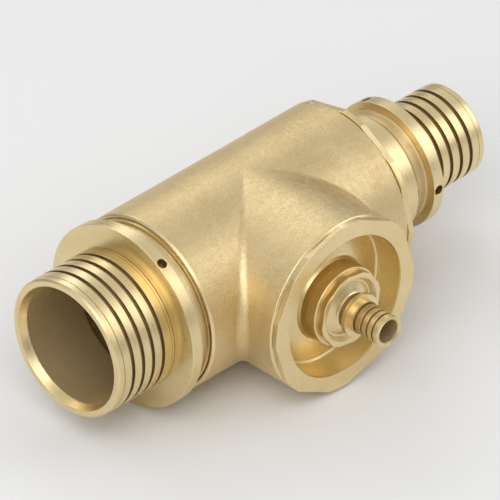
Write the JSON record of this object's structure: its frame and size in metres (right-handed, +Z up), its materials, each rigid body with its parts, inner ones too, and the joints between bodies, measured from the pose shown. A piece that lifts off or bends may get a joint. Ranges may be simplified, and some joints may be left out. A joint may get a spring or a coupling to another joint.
{
  "type": "pipe tee",
  "caption": "Brass reducing pipe tee: a cast barrel with screwed-in grooved spigots on the run and a small grooved nipple on the branch, in sizes stepped from large to small.",
  "frame": {"origin": "where the axis of the run crosses the axis of the branch", "axes": "+X along the run towards its smaller end, -Y along the branch, +Z up and square to both"},
  "size_m": [0.416, 0.2354, 0.1536],
  "materials": {
    "cast_brass": "fine sand-cast skin, faintly rough",
    "turned_brass": "bright turned, with fine lathe marks",
    "seal_rubber": "black, smooth"
  },
  "bodies": {
    "root": {"tee_body": "cast_brass", "large_adaptor": "turned_brass", "run_bushing": "turned_brass", "run_adaptor": "turned_brass", "branch_bushing": "turned_brass", "branch_nipple": "turned_brass", "large_adaptor_seal": "seal_rubber", "run_bushing_seal": "seal_rubber", "run_adaptor_seal": "seal_rubber", "branch_bushing_seal": "seal_rubber", "branch_nipple_seal": "seal_rubber"}
  },
  "joints": []
}
